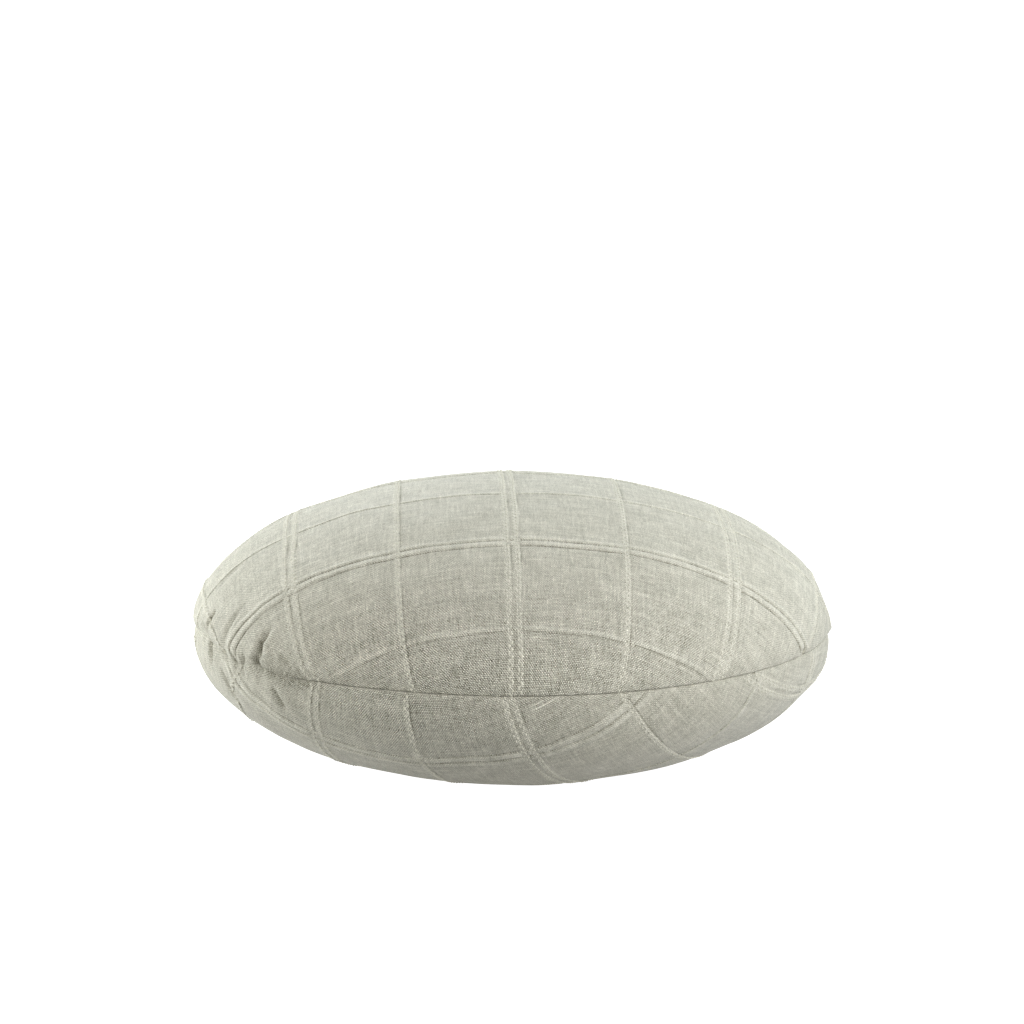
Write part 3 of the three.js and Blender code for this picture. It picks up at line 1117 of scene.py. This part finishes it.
yarn = cord_material()
for cords_name, cords_panel in (("upper_cords", above_panel), ("lower_cords", below_panel)):
    cords = cords_piece(cords_name, cords_panel)
    cords.data.materials.append(yarn)
    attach(cords, "root")


# The camera. The pillow lies level and is seen from a little above its seam, through a long lens
# whose axis passes over it, so that it sits low in the picture.
camera_distance = 1.841
camera_elevation = math.radians(12.49)
aim_above_seam = 0.0680
lens_mm = 102.46
sensor_mm = 36


def point_at(obj, target):
    """Turns a camera or a light so that it looks at a point."""
    way = np.array(target, float) - np.array(obj.location, float)
    level = math.hypot(way[0], way[1])
    obj.rotation_euler = (math.atan2(level, -way[2]), 0, math.atan2(-way[0], way[1]))


def place_in_view(towards, upward):
    """A point so far from the seam's middle towards the camera, and so far up in the picture."""
    rise = math.sin(camera_elevation)
    level = math.cos(camera_elevation)
    return (0, upward * rise - towards * level, seam_height + towards * rise + upward * level)


camera_data = bpy.data.cameras.new("camera")
camera_data.lens = lens_mm
camera_data.sensor_width = sensor_mm
camera = bpy.data.objects.new("camera", camera_data)
camera.location = place_in_view(camera_distance, 0)
point_at(camera, place_in_view(0, aim_above_seam))
bpy.context.scene.collection.objects.link(camera)
bpy.context.scene.camera = camera


# The studio. A pale seamless floor that sweeps up behind and is lit from below where the pillow
# lies, two wide soft lights overhead, and soft lights on both sides, behind and in front.
metre = 1.0
floor_reach = 6.0
sweep_start = 2.2
sweep_radius = 1.2
sweep_steps = 16
wall_top = 4.0
floor_grey = (0.45, 0.45, 0.45, 1)
white = (1, 1, 1, 1)
glow_seen = 0.85
glow_below = 0.2
glow_radius = 0.2


def sweep_profile():
    """The floor's section from front to back, up the curve and the wall."""
    section = [(-floor_reach, 0.0), (sweep_start, 0.0)]
    for i in range(1, sweep_steps + 1):
        angle = math.pi / 2 * i / sweep_steps
        y = sweep_start + sweep_radius * math.sin(angle)
        z = sweep_radius * (1 - math.cos(angle))
        section.append((y, z))
    section.append((sweep_start + sweep_radius, wall_top))
    return section


def floor_material():
    """Matt white paper, lit up to the camera's white, and from below under the pillow."""
    material = bpy.data.materials.new("floor_white")
    material.use_nodes = True
    tree = material.node_tree
    place = add_node(tree, "ShaderNodeTexCoord").outputs["Object"]
    from_middle = add_node(tree, "ShaderNodeVectorMath", {0: place}, operation="LENGTH")
    is_below = maths(tree, "LESS_THAN", from_middle.outputs["Value"], glow_radius)
    is_seen = add_node(tree, "ShaderNodeLightPath").outputs["Is Camera Ray"]
    glow = maths(tree, "MULTIPLY", is_seen, glow_seen)
    glow = maths(tree, "MULTIPLY_ADD", is_below, glow_below, glow)
    shader = tree.nodes["Principled BSDF"]
    tree.links.new(glow, shader.inputs["Emission Strength"])
    shader.inputs["Base Color"].default_value = floor_grey
    shader.inputs["Roughness"].default_value = 0.9
    shader.inputs["Specular IOR Level"].default_value = 0.1
    shader.inputs["Emission Color"].default_value = white
    return material


section = sweep_profile()
floor_points = [(x, y, z) for y, z in section for x in (-floor_reach, floor_reach)]
floor_faces = [(2 * i, 2 * i + 1, 2 * i + 3, 2 * i + 2) for i in range(len(section) - 1)]
floor = new_piece("floor", floor_points, floor_faces, metre)
floor.data.materials.append(floor_material())

# Each light: place, size each way in metres, power in watts, and colour, near white.
soft_lights = (
    ("overhead", (0, 0, 2.4), (2.0, 2.0), 7.1, (0.91, 0.9, 1)),
    ("overhead_back", (0, 1.5, 2.0), (1.6, 1.6), 25.2, (0.95, 1, 0.95)),
    ("left_back", (-1.6, 1.6, 0.9), (1.4, 1.4), 14.5, (0.93, 1, 0.98)),
    ("left_low_back", (-1.8, 1.4, 0.35), (0.6, 0.6), 27.2, (0.9, 0.94, 1)),
    ("left_low", (-1.0, -0.1, 0.15), (0.5, 0.26), 5.4, (1, 1, 1)),
    ("right_side", (2.1, 0.0, 1.0), (1.4, 1.4), 17.7, (0.86, 0.9, 1)),
    ("right_back", (1.6, 1.6, 0.9), (1.4, 1.4), 18.1, (0.86, 0.96, 1)),
    ("right_front", (1.6, -1.6, 0.9), (1.4, 1.4), 34.3, (1, 0.99, 1)),
)
for name, place, size, watts, colour in soft_lights:
    light_data = bpy.data.lights.new(name, "AREA")
    light_data.shape = "RECTANGLE"
    light_data.size, light_data.size_y = size
    light_data.energy = watts
    light_data.color = colour
    lamp = bpy.data.objects.new(name, light_data)
    lamp.location = place
    point_at(lamp, (0, 0, seam_height))
    bpy.context.scene.collection.objects.link(lamp)

# The world lights the pillow a little from all round, and is white where the camera sees past the
# floor's edge, so that no grey band shows there.
world_colour = (1, 0.965, 0.925, 1)
world_light = 0.198
world_white = 0.9
world = bpy.data.worlds.new("studio")
world.use_nodes = True
world_tree = world.node_tree
background = world_tree.nodes["Background"]
background.inputs["Color"].default_value = world_colour
world_seen = add_node(world_tree, "ShaderNodeLightPath").outputs["Is Camera Ray"]
world_strength = maths(world_tree, "MULTIPLY_ADD", world_seen, world_white, world_light)
world_tree.links.new(world_strength, background.inputs["Strength"])
bpy.context.scene.world = world
bpy.context.scene.view_settings.view_transform = "Standard"
bpy.context.scene.view_settings.look = "None"

# The weave is about as fine as the picture's pixels, so the denoiser mustn't smooth it first.
bpy.context.scene.cycles.denoising_prefilter = "NONE"
